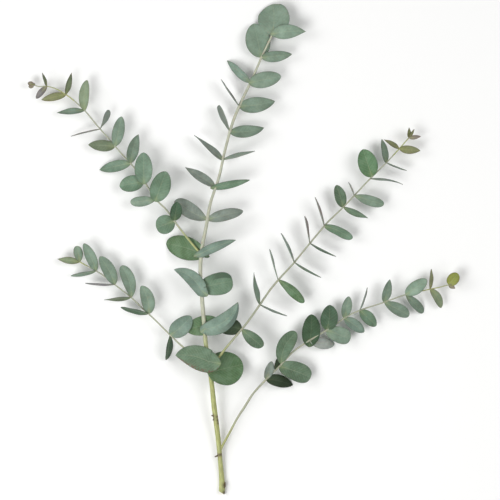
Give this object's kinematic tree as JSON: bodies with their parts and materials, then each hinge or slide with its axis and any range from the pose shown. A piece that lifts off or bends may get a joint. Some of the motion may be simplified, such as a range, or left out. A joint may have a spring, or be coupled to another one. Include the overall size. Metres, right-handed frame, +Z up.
{
  "type": "eucalyptus branch",
  "caption": "Cut eucalyptus branch lying flat: a tapering leader with side shoots and paired round to pointed grey-green leaves, fanned upward.",
  "frame": {"origin": "on the surface the branch lies on, under the middle of its bounding box", "axes": "+Z up off the surface; +Y from the cut end toward the top leaf; +X to the right, seen from above"},
  "size_m": [0.4325, 0.4919, 0.031],
  "materials": {
    "leaf": "waxy matte grey-green leaf",
    "young_leaf": "waxy matte olive young leaf",
    "stem": "smooth satin green twig"
  },
  "bodies": {
    "root": {"leader": "leaf", "upper_left_shoot": "leaf", "upper_left_tip": "young_leaf", "lower_left_shoot": "leaf", "lower_left_tip": "young_leaf", "upper_right_shoot": "leaf", "upper_right_tip": "young_leaf", "lower_right_shoot": "leaf", "lower_right_tip": "young_leaf"}
  },
  "joints": []
}
